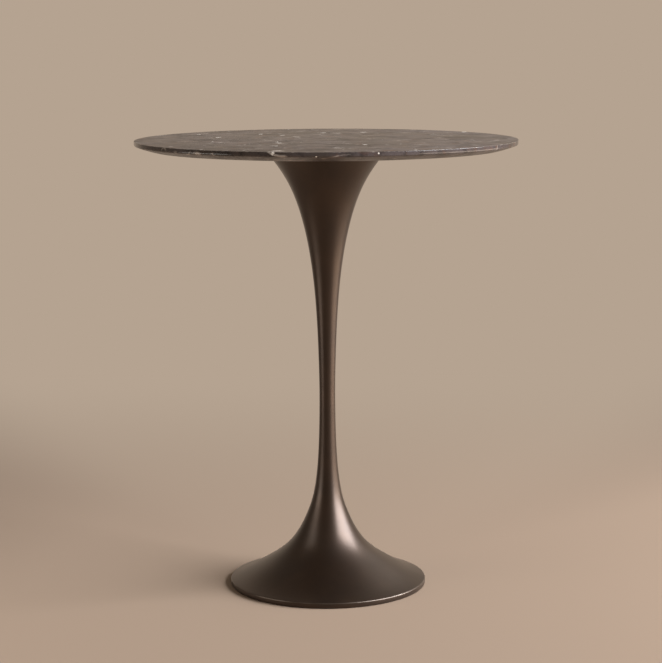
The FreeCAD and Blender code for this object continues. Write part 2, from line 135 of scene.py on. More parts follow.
def turnOutline(corners, steps, closed=False, materialAt=0):
    # turns an outline round the table's axis; a corner is (radius, height) or (radius, height, rounding)
    bm = bmesh.new()
    verts = [bm.verts.new((corner[0], 0, corner[1])) for corner in corners]
    pairs = list(zip(verts, verts[1:] + (verts[:1] if closed else [])))
    for one, other in pairs[:None if closed else len(verts) - 1]:
        bm.edges.new((one, other))
    for vert, corner in zip(verts, corners):
        if len(corner) == 3:
            bmesh.ops.bevel(bm, geom=[vert], offset=corner[2], offset_type="OFFSET",
                            segments=drawing["roundSteps"], profile=0.5, affect="VERTICES", material=-1)
    bmesh.ops.spin(bm, geom=bm.verts[:] + bm.edges[:], cent=(0, 0, 0), axis=(0, 0, 1),
                   angle=2 * math.pi, steps=steps, use_merge=True, use_normal_flip=False,
                   use_duplicate=False)
    bmesh.ops.remove_doubles(bm, verts=bm.verts[:], dist=drawing["joinWithin"])
    bmesh.ops.recalc_face_normals(bm, faces=bm.faces[:])
    for face in bm.faces:
        face.material_index = materialAt
    return bm


def markInside(bm, reach, materialAt=1):
    # faces that look towards the axis, or lie flat within reach of it, are the inside of a casting
    for face in bm.faces:
        centre = face.calc_center_median()
        outward = face.normal.x * centre.x + face.normal.y * centre.y
        flat = abs(face.normal.z) > drawing["flatFrom"]
        if outward < -drawing["joinWithin"] or flat and centre.xy.length < reach:
            face.material_index = materialAt


def newObject(name, bm):
    mesh = bpy.data.meshes.new(name)
    bm.to_mesh(mesh)
    bm.free()
    made = bpy.data.objects.new(name, mesh)
    scene.collection.objects.link(made)
    return made


def carve(piece, cutter, operation="DIFFERENCE"):
    # joins or cuts with a solid, which is then gone; each face keeps its own material number
    modifier = piece.modifiers.new("carve", "BOOLEAN")
    modifier.operation = operation
    modifier.solver = "EXACT"
    modifier.material_mode = "INDEX"
    modifier.object = cutter
    bpy.context.view_layer.update()
    carved = bpy.data.meshes.new_from_object(piece.evaluated_get(bpy.context.evaluated_depsgraph_get()))
    piece.modifiers.clear()
    old = piece.data
    piece.data = carved
    bpy.data.meshes.remove(old)
    bpy.data.objects.remove(cutter)
    return piece


def roundsOnCircle(name, groups, materialAt=0, edgeRound=0):
    # upright cylinders set round the table's axis, one mesh; their lower edges may be rounded
    bm = bmesh.new()
    for group in groups:
        low, high = group["low"], group["high"]
        for number in range(group["count"]):
            angle = math.radians(group["turn"]) + 2 * math.pi * number / group["count"]
            spot = (group["circle"] * math.cos(angle), group["circle"] * math.sin(angle), (low + high) / 2)
            made = bmesh.ops.create_cone(bm, cap_ends=True, segments=drawing["holeSides"],
                                         radius1=group["radius"], radius2=group["radius"],
                                         depth=high - low)
            bmesh.ops.translate(bm, verts=made["verts"], vec=spot)
            if edgeRound:
                rim = [e for e in bm.edges if all(v in made["verts"] for v in e.verts)
                       and all(abs(v.co.z - low) < drawing["levelWithin"] for v in e.verts)]
                bmesh.ops.bevel(bm, geom=rim, offset=edgeRound, offset_type="OFFSET",
                                segments=drawing["edgeSteps"], profile=0.5, affect="EDGES", material=-1)
    for face in bm.faces:
        face.material_index = materialAt
    return newObject(name, bm)


def dressPiece(piece, materials, body, nodes, sharpDegrees=30):
    piece.data.materials.clear()
    for material in materials:
        piece.data.materials.append(material)
    piece.data.shade_smooth()
    piece.data.set_sharp_from_angle(angle=math.radians(sharpDegrees))
    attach(piece, body)
    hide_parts(*nodes)
    return piece


# camera, in metres and degrees; the focal length is in pixels of the photo, the sensor in millimetres

view = {
    "focalPixels": 2016.5,      # from the ellipses of the top and the foot
    "longSidePixels": 663,
    "sensor": 36,
    "back": 4.746,
    "height": 1.360,
    "pitchDown": 8.94,
    "yawRight": 0.15,
    "rollUp": -0.23,
}
lens = bpy.data.cameras.new("camera")
lens.sensor_width = view["sensor"]
lens.lens = view["focalPixels"] * view["sensor"] / view["longSidePixels"]
camera = bpy.data.objects.new("camera", lens)
camera.location = (0, -view["back"], view["height"])
camera.rotation_euler = (math.radians(90 - view["pitchDown"]), math.radians(-view["rollUp"]),
                         math.radians(-view["yawRight"]))
scene.collection.objects.link(camera)
scene.camera = camera
print("camera set")


# light: a big far softbox on the right, low bounce panels on both sides, a small high one on the left
# and one behind on the right; azimuth goes round from the camera to the right, lengths are in metres

panels = {
    "key": {"azimuth": 79, "elevation": 27, "distance": 14, "size": (13.6, 8.4), "watts": 6200,
            "colour": "#f7f9ff"},
    "rightBounce": {"azimuth": 84, "elevation": 3, "distance": 2.2, "size": (2.7, 0.75), "watts": 11,
                    "colour": "#ffe9d0", "spread": 120},
    "backRight": {"azimuth": 132, "elevation": 36, "distance": 3.2, "size": (2.0, 2.0), "watts": 10,
                  "colour": "#fff8ee"},
    "leftBounce": {"azimuth": -70, "elevation": 6, "distance": 1.9, "size": (1.1, 0.6), "watts": 3.2,
                   "colour": "#fdf4ea", "spread": 120},
    "leftHigh": {"azimuth": -70, "elevation": 35, "distance": 2.8, "size": (1.2, 1.2), "watts": 9,
                 "colour": "#fff8ee"},
}
lightCentre = (0, 0, 0.3)
for name, panel in panels.items():
    lamp = bpy.data.lights.new(name, "AREA")
    lamp.shape = "RECTANGLE"
    lamp.size, lamp.size_y = panel["size"]
    lamp.energy = panel["watts"]
    lamp.spread = math.radians(panel.get("spread", 180))    # a grid keeps a low panel's light in
    lamp.color = linearColour(panel["colour"])[:3]
    turn, rise = math.radians(panel["azimuth"]), math.radians(panel["elevation"])
    towards = Vector((math.cos(rise) * math.sin(turn), -math.cos(rise) * math.cos(turn), math.sin(rise)))
    holder = bpy.data.objects.new(name, lamp)
    holder.location = Vector(lightCentre) + panel["distance"] * towards
    holder.rotation_euler = towards.to_track_quat("Z", "Y").to_euler()
    holder.visible_camera = False
    scene.collection.objects.link(holder)
print("lamps set")


# surround and floor

backdrop = {
    "floor": "#94806d", "floorRoughness": 0.9, "floorRadius": 60, "floorSides": 96,
    "colour": "#b5a391",
    "aside": 0.4,               # its glow to the sides and in front; straight behind it is 1
    "ambient": 0.15,            # what it adds to the light on the table
    "turn": (0.6, 0.93),        # cosines of the angle off straight behind, from aside to full glow
    "near": (0, 2.8),           # metres behind the table over which the floor takes its tone
    "far": (3, 10),             # the same in every direction
}


def seenRays(tree):
    # 1 for a ray from the camera, off a gloss or through glass, 0 for the light on the object
    path = addNode(tree, "LightPath")
    either = addNode(tree, "Math", {"operation": "MAXIMUM"},
                     {0: path.outputs["Is Camera Ray"], 1: path.outputs["Is Glossy Ray"]})
    return addNode(tree, "Math", {"operation": "MAXIMUM"},
                   {0: either.outputs[0], 1: path.outputs["Is Transmission Ray"]}).outputs[0]


def glowAround(tree, direction):
    # 1 straight behind the table, 0 to its sides and in front, and the glow that goes with it
    unit = addNode(tree, "VectorMath", {"operation": "NORMALIZE"}, {0: direction})
    apart = addNode(tree, "SeparateXYZ", links={0: unit.outputs[0]})
    behind = addNode(tree, "MapRange", {"interpolation_type": "SMOOTHSTEP",
                                        "From Min": backdrop["turn"][0], "From Max": backdrop["turn"][1]},
                     {"Value": apart.outputs["Y"]})
    glow = addNode(tree, "MapRange", {"To Min": backdrop["aside"]}, {"Value": behind.outputs[0]})
    return behind.outputs[0], glow.outputs[0]


# pale behind the table and dimmer round the rest, as a big studio is
world = bpy.data.worlds.new("studio")
scene.world = world
world.use_nodes = True
tree = world.node_tree
tree.nodes.clear()
behind, glow = glowAround(tree, addNode(tree, "TexCoord").outputs["Generated"])
strength = addNode(tree, "Mix", {"data_type": "FLOAT", 2: backdrop["ambient"]},
                   {0: seenRays(tree), 3: glow})
lit = addNode(tree, "Background", {"Color": linearColour(backdrop["colour"])},
              {"Strength": strength.outputs[0]})
addNode(tree, "OutputWorld", links={"Surface": lit.outputs[0]})


def mattFloor():
    # matt and pale, lit by the lamps near the table, and far off the same tone as the surround
    material, tree, surface, place = startMaterial("matt floor", {"Roughness": backdrop["floorRoughness"]})
    surface.inputs["Base Color"].default_value = linearColour(backdrop["floor"])
    flat = addNode(tree, "VectorMath", {"operation": "MULTIPLY", 1: (1, 1, 0)}, {0: place})
    behind, glow = glowAround(tree, flat.outputs[0])
    shine = addNode(tree, "Emission", {"Color": linearColour(backdrop["colour"])}, {"Strength": glow})
    apart = addNode(tree, "SeparateXYZ", links={0: place})
    reach = addNode(tree, "VectorMath", {"operation": "LENGTH"}, {0: flat.outputs[0]})
    fades = []
    for measure, (start, stop) in ((apart.outputs["Y"], backdrop["near"]),
                                   (reach.outputs["Value"], backdrop["far"])):
        fades.append(addNode(tree, "MapRange", {"interpolation_type": "SMOOTHSTEP",
                                                "From Min": start / mm, "From Max": stop / mm},
                             {"Value": measure}).outputs[0])
    nearBehind = addNode(tree, "Math", {"operation": "MULTIPLY"}, {0: fades[0], 1: behind})
    faded = addNode(tree, "Math", {"operation": "MAXIMUM"}, {0: nearBehind.outputs[0], 1: fades[1]})
    share = addNode(tree, "Math", {"operation": "MULTIPLY"}, {0: faded.outputs[0], 1: seenRays(tree)})
    chosen = addNode(tree, "MixShader", links={0: share.outputs[0], 1: surface.outputs[0],
                                               2: shine.outputs[0]})
    tree.links.new(chosen.outputs[0], tree.nodes["Material Output"].inputs["Surface"])
    return material


bm = bmesh.new()
bmesh.ops.create_circle(bm, cap_ends=True, radius=backdrop["floorRadius"],
                        segments=backdrop["floorSides"])
floor = newObject("floor", bm)
floor.data.materials.append(mattFloor())
print("studio set")


# materials, with the sizes of their patterns in millimetres

noiseSpan = (0.3, 0.7)      # nearly all of a noise lies in here
rimTop = 13 * mm            # the upper edge of the foot's rim, where its coat is rubbed brighter, partly real wear and partly a painted highlight


def layOver(tree, place, below, layer, mask=None):
    # lays a colour over the one below where a noise is high, and gives the noise back as well
    noise = addNode(tree, "TexNoise", {"Scale": 1 / layer["size"], **layer["noise"]}, {"Vector": place})
    share = addNode(tree, "MapRange", {"From Min": layer["span"][0], "From Max": layer["span"][1],
                                       "To Min": layer.get("least", 0), "To Max": layer.get("most", 1)},
                    {"Value": noise.outputs["Fac"]}).outputs[0]
    if mask:
        share = addNode(tree, "Math", {"operation": "MULTIPLY"}, {0: mask, 1: share}).outputs[0]
    laid = addNode(tree, "Mix", {"data_type": "RGBA", 7: linearColour(layer["colour"])}, {0: share})
    if isinstance(below, str):
        laid.inputs[6].default_value = linearColour(below)
    else:
        tree.links.new(below, laid.inputs[6])
    return laid.outputs[2], noise.outputs["Fac"]


def speckle(tree, place, below, specks):
    # lightens and darkens a colour by a fine noise, and gives the noise back as well
    noise = addNode(tree, "TexNoise", {"Scale": 1 / specks["size"], "Detail": 2}, {"Vector": place})
    value = addNode(tree, "MapRange", {"From Min": noiseSpan[0], "From Max": noiseSpan[1],
                                       "To Min": specks["darkest"], "To Max": specks["lightest"]},
                    {"Value": noise.outputs["Fac"]})
    speckled = addNode(tree, "HueSaturation", links={"Color": below, "Value": value.outputs[0]})
    return speckled.outputs[0], noise.outputs["Fac"]


def bendPlace(tree, place, size, reach):
    # shifts the coordinates by a noise, so that what is drawn on them comes out ragged
    noise = addNode(tree, "TexNoise", {"Scale": 1 / size, "Detail": 3}, {"Vector": place})
    shift = addNode(tree, "VectorMath", {"operation": "SCALE", "Scale": reach},
                    {0: noise.outputs["Color"]})
    return addNode(tree, "VectorMath", {"operation": "ADD"}, {0: place, 1: shift.outputs[0]}).outputs[0]


def nearEdge(tree, place, radius, height, reach, easing="LINEAR"):
    # 1 at the upper outer edge of a turned piece: by its radius alone, and by its height as well
    apart = addNode(tree, "SeparateXYZ", links={0: place})
    flat = addNode(tree, "VectorMath", {"operation": "MULTIPLY", 1: (1, 1, 0)}, {0: place})
    outwards = addNode(tree, "VectorMath", {"operation": "LENGTH"}, {0: flat.outputs[0]})
    shares = []
    for measure, edge in ((outwards.outputs["Value"], radius), (apart.outputs["Z"], height)):
        shares.append(addNode(tree, "MapRange", {"interpolation_type": easing,
                                                 "From Min": edge - reach[0], "From Max": edge - reach[1]},
                              {"Value": measure}).outputs[0])
    both = addNode(tree, "Math", {"operation": "MULTIPLY"}, {0: shares[0], 1: shares[1]})
    return shares[0], both.outputs[0]


# a layer has its size, the stretch of its noise over which it comes in, and its least and most share
marble = {
    "grey": "#3d352f",
    "clouds": {"colour": "#544c4c", "size": 170, "span": (0.35, 0.68),
               "noise": {"Detail": 5, "Roughness": 0.62, "Distortion": 0.4}},
    "patches": {"colour": "#191514", "size": 62, "span": (0.5, 0.64), "most": 0.85,
                "noise": {"Detail": 6, "Roughness": 0.7, "Distortion": 0.5}},
    "rust": {"colour": "#553a2a", "size": 33, "span": (0.56, 0.7), "most": 0.6,
             "noise": {"Detail": 4, "Distortion": 0.8}},
    "veinColour": "#b4aaa0", "veinWidth": 1.2, "veinStretch": (0.4, 1, 1), "veinTurn": 24,
    "veinNoise": {"Detail": 2, "Roughness": 0.45}, "bendSize": 60, "bendReach": 18,
    "veinSlope": 1.3,               # how steeply the noise of a vein crosses its middle
    "veinCore": 0.2,                # share of a vein's width that has its full colour
    "veinKept": (0.55, 0.64),       # stretch of the breaking noise over which a vein comes in
    "veins": ({"size": 150, "breakSize": 45, "most": 0.85}, {"size": 75, "breakSize": 24, "most": 0.6}),
    "fleckColour": "#eae3d8", "fleckEdge": 0.3,
    "ragged": 1.4,                  # how far a fleck's outline wanders, in its largest radii
    "flecks": ({"spacing": 50, "empty": 0.74, "smallest": 2.5, "largest": 8.5},
               {"spacing": 19, "empty": 0.86, "smallest": 0.7, "largest": 2.2}),
    # pale handling bruises on the upper edge, which also serve as a painted highlight along the arris
    "bruisesAndHighlight": {"colour": "#978d83", "size": 16, "span": (0.53, 0.61), "most": 0.6,
                "noise": {"Detail": 4, "Roughness": 0.65}},
    "edgeReach": (1.2, 0.5), "edgePolish": 0.45,
    "grain": {"size": 1.6, "darkest": 0.88, "lightest": 1.12},
    "polish": (0.25, 0.42), "relief": {"Strength": 0.25, "Distance": 0.02 * mm},
}


def marbleVeins(tree, place):
    # lines where a bent noise crosses its middle, broken off by another noise
    bent = bendPlace(tree, place, marble["bendSize"], marble["bendReach"])
    drawn = addNode(tree, "Mapping", {"Rotation": (0, 0, math.radians(marble["veinTurn"])),
                                      "Scale": marble["veinStretch"]}, {"Vector": bent})
    shares = []
    for vein in marble["veins"]:
        ridge = addNode(tree, "TexNoise", {"Scale": 1 / vein["size"], **marble["veinNoise"]},
                        {"Vector": drawn.outputs[0]})
        offMiddle = addNode(tree, "Math", {"operation": "SUBTRACT", 1: 0.5}, {0: ridge.outputs["Fac"]})
        distance = addNode(tree, "Math", {"operation": "ABSOLUTE"}, {0: offMiddle.outputs[0]})
        width = marble["veinSlope"] * marble["veinWidth"] / vein["size"]
        line = addNode(tree, "MapRange", {"From Min": width, "From Max": marble["veinCore"] * width,
                                          "To Max": vein["most"]}, {"Value": distance.outputs[0]})
        breaks = addNode(tree, "TexNoise", {"Scale": 1 / vein["breakSize"], "Detail": 3},
                         {"Vector": place})
        kept = addNode(tree, "MapRange", {"From Min": marble["veinKept"][0],
                                          "From Max": marble["veinKept"][1]},
                       {"Value": breaks.outputs["Fac"]})
        part = addNode(tree, "Math", {"operation": "MULTIPLY"}, {0: line.outputs[0], 1: kept.outputs[0]})
        shares.append(part.outputs[0])
    return addNode(tree, "Math", {"operation": "MAXIMUM"}, {0: shares[0], 1: shares[1]}).outputs[0]


def marbleFlecks(tree, place, fleck):
    # a few of the cells hold a small ragged spot, its size by chance
    ragged = bendPlace(tree, place, fleck["largest"], marble["ragged"] * fleck["largest"])
    cells = addNode(tree, "TexVoronoi", {"Scale": 1 / fleck["spacing"]}, {"Vector": ragged})
    chance = addNode(tree, "SeparateColor", links={0: cells.outputs["Color"]}).outputs[0]
    radius = addNode(tree, "MapRange", {"From Min": fleck["empty"],
                                        "To Min": fleck["smallest"] / fleck["spacing"],
                                        "To Max": fleck["largest"] / fleck["spacing"]},
                     {"Value": chance})
    filled = addNode(tree, "Math", {"operation": "GREATER_THAN", 1: fleck["empty"]}, {0: chance})
    reach = addNode(tree, "Math", {"operation": "MULTIPLY"}, {0: radius.outputs[0], 1: filled.outputs[0]})
    inside = addNode(tree, "Math", {"operation": "SUBTRACT"},
                     {0: reach.outputs[0], 1: cells.outputs["Distance"]})
    return addNode(tree, "MapRange", {"From Max": marble["fleckEdge"] / fleck["spacing"]},
                   {"Value": inside.outputs[0]}).outputs[0]


def honedMarble():
    # dark limestone marble, sawn and honed: solid colour with pale calcite, and a soft wide sheen
    material, tree, surface, place = startMaterial("honed marble", {"IOR": 1.55})
    colour = layOver(tree, place, marble["grey"], marble["clouds"])[0]
    colour, patches = layOver(tree, place, colour, marble["patches"])
    colour = layOver(tree, place, colour, marble["rust"])[0]
    colour = addNode(tree, "Mix", {"data_type": "RGBA", 7: linearColour(marble["veinColour"])},
                     {0: marbleVeins(tree, place), 6: colour}).outputs[2]
    for fleck in marble["flecks"]:
        colour = addNode(tree, "Mix", {"data_type": "RGBA", 7: linearColour(marble["fleckColour"])},
                         {0: marbleFlecks(tree, place, fleck), 6: colour}).outputs[2]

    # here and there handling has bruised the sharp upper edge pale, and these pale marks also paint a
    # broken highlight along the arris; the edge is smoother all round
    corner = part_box("stone_top")[1] / mm
    nearRim, atEdge = nearEdge(tree, place, corner.x, corner.z, marble["edgeReach"])
    colour = layOver(tree, place, colour, marble["bruisesAndHighlight"], atEdge)[0]

    # the crystal grain, drawn a little coarser than it is so that it shows
    colour, grain = speckle(tree, place, colour, marble["grain"])
    tree.links.new(colour, surface.inputs["Base Color"])
    honed = addNode(tree, "MapRange", {"From Min": noiseSpan[0], "From Max": noiseSpan[1],
                                       "To Min": marble["polish"][0], "To Max": marble["polish"][1]},
                    {"Value": patches})
    edgePolish = addNode(tree, "MapRange", {"To Min": 1, "To Max": marble["edgePolish"]},
                         {"Value": nearRim})
    polish = addNode(tree, "Math", {"operation": "MULTIPLY"}, {0: honed.outputs[0],
                                                               1: edgePolish.outputs[0]})
    tree.links.new(polish.outputs[0], surface.inputs["Roughness"])
    relief = addNode(tree, "Bump", marble["relief"], {"Height": grain})
    tree.links.new(relief.outputs[0], surface.inputs["Normal"])
    return material


bronze = {
    "coat": "#3c2c1f",
    "deep": {"colour": "#33251a", "size": 70, "span": (0.35, 0.65), "noise": {"Detail": 4}},
    # lighter rubbed wear along the rim's upper edge, which also serves as a painted highlight there
    "rubbedAndHighlight": {"colour": "#6e645a", "size": 45, "span": (0.35, 0.65), "least": 0.15, "most": 0.6,
               "noise": {"Detail": 4}},
    "rubAndHighlightReach": (2.4, 1), "metallic": 0.8, "gloss": 0.55, "glossRoughness": 0.34,
    "sparkle": {"size": 0.9, "darkest": 0.9, "lightest": 1.1}, "polish": (0.35, 0.41),
    "peelSize": 2.4, "relief": {"Strength": 0.3, "Distance": 0.03 * mm},
}


def bronzeCoat():
    # cast iron under a baked bronze powder coat, mostly dark metal flake under a clear binder: the
    # body is a warm brown, its highlights are nearly neutral, and there is a faint orange peel
    material, tree, surface, place = startMaterial(
        "bronze powder coat", {"Metallic": bronze["metallic"], "Coat Weight": bronze["gloss"],
                               "Coat Roughness": bronze["glossRoughness"]})
    colour, clouds = layOver(tree, place, bronze["coat"], bronze["deep"])

    # the sparkle of the flake, drawn many times coarser than it is so that it shows
    colour = speckle(tree, place, colour, bronze["sparkle"])[0]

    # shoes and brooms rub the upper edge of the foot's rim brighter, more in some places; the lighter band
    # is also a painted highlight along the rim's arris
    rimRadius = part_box("base_bell")[1].x / mm
    atEdge = nearEdge(tree, place, rimRadius, rimTop / mm, bronze["rubAndHighlightReach"], "SMOOTHSTEP")[1]
    colour = layOver(tree, place, colour, bronze["rubbedAndHighlight"], atEdge)[0]
    tree.links.new(colour, surface.inputs["Base Color"])
    polish = addNode(tree, "MapRange", {"From Min": noiseSpan[0], "From Max": noiseSpan[1],
                                        "To Min": bronze["polish"][0], "To Max": bronze["polish"][1]},
                     {"Value": clouds})
    tree.links.new(polish.outputs[0], surface.inputs["Roughness"])
    peel = addNode(tree, "TexNoise", {"Scale": 1 / bronze["peelSize"], "Detail": 1}, {"Vector": place})
    relief = addNode(tree, "Bump", bronze["relief"], {"Height": peel.outputs["Fac"]})
    tree.links.new(relief.outputs[0], surface.inputs["Normal"])
    return material


mottling = {"span": (0.35, 0.65), "blotchDetail": 5, "grainDetail": 3, "reliefStrength": 0.6}


def mottledFinish(name, shader, colours, blotchSize, polish, grainSize, grainDepth):
    # two shades in soft blotches, a gloss that drifts with them and a fine relief, whose grain is
    # drawn coarser than the real one where that wouldn't show
    material, tree, surface, place = startMaterial(name, shader)
    blotches = {"colour": colours[1], "size": blotchSize, "span": mottling["span"],
                "noise": {"Detail": mottling["blotchDetail"]}}
    colour, drift = layOver(tree, place, colours[0], blotches)
    tree.links.new(colour, surface.inputs["Base Color"])
    gloss = addNode(tree, "MapRange", {"From Min": mottling["span"][0], "From Max": mottling["span"][1],
                                       "To Min": polish[0], "To Max": polish[1]}, {"Value": drift})
    tree.links.new(gloss.outputs[0], surface.inputs["Roughness"])
    grain = addNode(tree, "TexNoise", {"Scale": 1 / grainSize, "Detail": mottling["grainDetail"]},
                    {"Vector": place})
    relief = addNode(tree, "Bump", {"Strength": mottling["reliefStrength"], "Distance": grainDepth * mm},
                     {"Height": grain.outputs["Fac"]})
    tree.links.new(relief.outputs[0], surface.inputs["Normal"])
    return material


def primedCasting():
    # sand-cast iron under a dip of dark primer: dull and pebbled
    return mottledFinish("primed casting", {"Metallic": 0.2}, colours=("#232120", "#3a3531"),
                         blotchSize=25, polish=(0.68, 0.78), grainSize=1.8, grainDepth=0.25)


def bareIron():
    # a ballast casting left bare: grey, sandy, with a first bloom of rust
    return mottledFinish("bare cast iron", {"Metallic": 0.6}, colours=("#45423f", "#4b3b30"),
                         blotchSize=18, polish=(0.55, 0.75), grainSize=1.5, grainDepth=0.2)


def zincPlate():
    # steel fasteners in bright zinc under a clear passivate: cool silver, a little cloudy
    return mottledFinish("zinc plated steel", {"Metallic": 1}, colours=("#b8bbc0", "#9da2aa"),
                         blotchSize=7, polish=(0.25, 0.4), grainSize=0.5, grainDepth=0.006)


def drawnSteel():
    # cold drawn tube, oiled: darker and greyer than zinc, with an even gloss
    return mottledFinish("drawn steel", {"Metallic": 1}, colours=("#8a8b8d", "#757679"),
                         blotchSize=12, polish=(0.3, 0.42), grainSize=0.8, grainDepth=0.008)


def blackPowderCoat():
    # plate and hub under black powder: nearly black, a low sheen with a faint orange peel
    return mottledFinish("black powder coat", {"IOR": 1.5}, colours=("#1b1b1c", "#262628"),
                         blotchSize=40, polish=(0.45, 0.56), grainSize=2.2, grainDepth=0.04)


def turnedBrass():
    # free-cutting brass straight off the lathe: warm yellow, clean gloss, slightly stained
    return mottledFinish("turned brass", {"Metallic": 1}, colours=("#c8a45c", "#ad8745"),
                         blotchSize=5, polish=(0.24, 0.38), grainSize=0.4, grainDepth=0.006)


def nitrileSheet():
    # die-cut rubber sheet: black and quite matt, with a dusting of talc
    return mottledFinish("nitrile rubber sheet", {"IOR": 1.52}, colours=("#151516", "#242425"),
                         blotchSize=30, polish=(0.75, 0.88), grainSize=1, grainDepth=0.05)


def mouldedNylon():
    # injection-moulded black nylon: soft sheen over a fine spark texture
    return mottledFinish("moulded nylon", {"IOR": 1.53}, colours=("#1f2021", "#2a2b2c"),
                         blotchSize=9, polish=(0.42, 0.56), grainSize=0.7, grainDepth=0.03)


stoneFinish = honedMarble()
coatFinish = bronzeCoat()
castFinish = primedCasting()
ironFinish = bareIron()
zincFinish = zincPlate()
tubeFinish = drawnSteel()
plateFinish = blackPowderCoat()
brassFinish = turnedBrass()
gasketFinish = nitrileSheet()
padFinish = mouldedNylon()
print("materials made")


# the stone top, a lip above and a wide slope below, with blind holes for the inserts

stone = {
    "lip": 10 * mm, "slopeWidth": 39 * mm, "slopeRound": 3 * mm, "arris": 0.8 * mm,
    "slopeShares": ((0, 0), (0.55, 0.42), (1, 1)), "slopeDegree": 2, "slopeSteps": 8, "steps": 288,
    "insertHoles": {"count": 8, "circle": 90 * mm, "turn": 0, "radius": 4.6 * mm},
    "insertDepth": 13.5 * mm,
}
low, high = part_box("stone_top")
flatCorner = (high.x - stone["slopeWidth"], low.z)
lipCorner = (high.x, high.z - stone["lip"])
slope = flarePoints(stone["slopeShares"], flatCorner, lipCorner, stone["slopeDegree"],
                    stone["slopeSteps"])
corners = [(0, low.z), *slope[:-1], (*lipCorner, stone["slopeRound"]),
           (high.x, high.z, stone["arris"]), (0, high.z)]
stoneTop = newObject("stoneTop", turnOutline(corners, stone["steps"]))
insertHoles = {**stone["insertHoles"], "low": low.z - drawing["overrun"],
               "high": low.z + stone["insertDepth"]}
carve(stoneTop, roundsOnCircle("insertHoles", [insertHoles]))
dressPiece(stoneTop, [stoneFinish], "table", ["stone_top"])
print("stone top made")


# the trumpet, one hollow casting from the neck up to the plate

trumpet = {
    "neckRadius": 18.8 * mm, "neckBore": 12 * mm, "mouthRadius": 147 * mm, "mouthRound": 1 * mm,
    "shares": ((0, 0), (0, 0.02), (0.02, 0.38), (0.27, 0.74), (0.62, 0.91), (1, 1)),
    "coreRadius": 125 * mm, "ledgeRadius": 115 * mm, "ledgeThickness": 8 * mm,
    "rebateRadius": 130.5 * mm, "rebateDepth": 7 * mm,
    "seatRadius": 14.05 * mm, "seatDepth": 30 * mm, "seatRelief": 0.3 * mm, "steps": 256,
}
neckHeight, mouthHeight = (corner.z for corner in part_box("upper_column"))
rebateFloor = mouthHeight - trumpet["rebateDepth"]
ledgeUnderside = rebateFloor - trumpet["ledgeThickness"]
seatHigh = neckHeight + trumpet["seatDepth"] + trumpet["seatRelief"]
neck = (trumpet["neckRadius"], neckHeight)
neckBore = (trumpet["neckBore"], neckHeight)
mouth = (trumpet["mouthRadius"], mouthHeight)
outside = flarePoints(trumpet["shares"], neck, mouth)
core = flarePoints(trumpet["shares"], neckBore, (trumpet["coreRadius"], ledgeUnderside))
core = stretchBetween(core, seatHigh, ledgeUnderside)
corners = [*outside[:-1], (*mouth, trumpet["mouthRound"]),
           (trumpet["rebateRadius"], mouthHeight), (trumpet["rebateRadius"], rebateFloor),
           (trumpet["ledgeRadius"], rebateFloor), (trumpet["ledgeRadius"], ledgeUnderside),
           *reversed(core), (trumpet["seatRadius"], seatHigh), (trumpet["seatRadius"], neckHeight)]
bm = turnOutline(corners, trumpet["steps"], closed=True)
markInside(bm, trumpet["rebateRadius"])
upperColumn = newObject("upperColumn", bm)
dressPiece(upperColumn, [coatFinish, castFinish], "table", ["upper_column"])
print("trumpet made")


# the foot, a hollow casting with a web across the stem and bosses for the ballast and the glides

foot = {
    "arris": 2 * mm, "baseRound": 0.5 * mm, "rimWidth": 10 * mm, "innerTop": 8 * mm,
    "webLow": 150 * mm, "webHigh": 162 * mm, "rodHole": 6.5 * mm, "steps": 256,
    "shares": ((0, 0), (0.15, 0.023), (0.36, 0.08), (0.685, 0.18), (0.88, 0.35), (1, 0.55), (1, 1)),
    "middleOfWall": 3 * mm, "bossRound": 1.5 * mm,
    "ballastSpots": {"count": 4, "circle": 110 * mm, "turn": 0},
    "ballastBoss": {"radius": 12 * mm, "low": 36 * mm},
    "ballastBore": {"radius": 4.05 * mm, "high": 56.3 * mm},
    "glideSpots": {"count": 4, "circle": 188 * mm, "turn": 45},
    "glideBoss": {"radius": 11 * mm, "low": 12 * mm},
    "glideBore": {"radius": 4.05 * mm, "high": 24.3 * mm},
}
low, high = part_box("base_bell")
rim = (high.x, rimTop)
innerRim = (high.x - foot["rimWidth"], foot["innerTop"])
seatLow = neckHeight - trumpet["seatDepth"]
outside = flarePoints(foot["shares"], rim, neck)
core = flarePoints(foot["shares"], innerRim, neckBore)
corners = [(*rim, foot["arris"]), *outside[1:], (trumpet["seatRadius"], neckHeight),
           (trumpet["seatRadius"], seatLow), *reversed(stretchBetween(core, foot["webHigh"], seatLow)),
           (foot["rodHole"], foot["webHigh"]), (foot["rodHole"], foot["webLow"]),
           *reversed(stretchBetween(core, foot["innerTop"], foot["webLow"])),
           (innerRim[0], low.z), (high.x, low.z, foot["baseRound"])]
bm = turnOutline(corners, foot["steps"], closed=True)
markInside(bm, innerRim[0])
baseBell = newObject("baseBell", bm)

# the bosses reach up to the middle of the wall, and their bores are blind
bossGroups = []
boreGroups = []
for use in ("ballast", "glide"):
    spots, boss, bore = (foot[use + part] for part in ("Spots", "Boss", "Bore"))
    bossGroups.append({**spots, **boss, "high": foot["webLow"]})
    boreGroups.append({**spots, **bore, "low": boss["low"] - drawing["overrun"]})
wall = foot["middleOfWall"]
middle = flarePoints(foot["shares"], (rim[0] - wall, rim[1] - wall), (neck[0] - wall, neck[1]))
trim = newObject("trim", turnOutline([(0, low.z), (middle[0][0], low.z), *middle, (0, neckHeight)],
                                     foot["steps"], materialAt=1))
bosses = roundsOnCircle("bosses", bossGroups, 1, foot["bossRound"])
carve(bosses, trim, "INTERSECT")
carve(baseBell, bosses, "UNION")
carve(baseBell, roundsOnCircle("bores", boreGroups, 1))
dressPiece(baseBell, [coatFinish, castFinish], "table", ["base_bell"])
print("foot made")


# fasteners; a tooth runs out of the root by shares of its depth and along by shares of the pitch

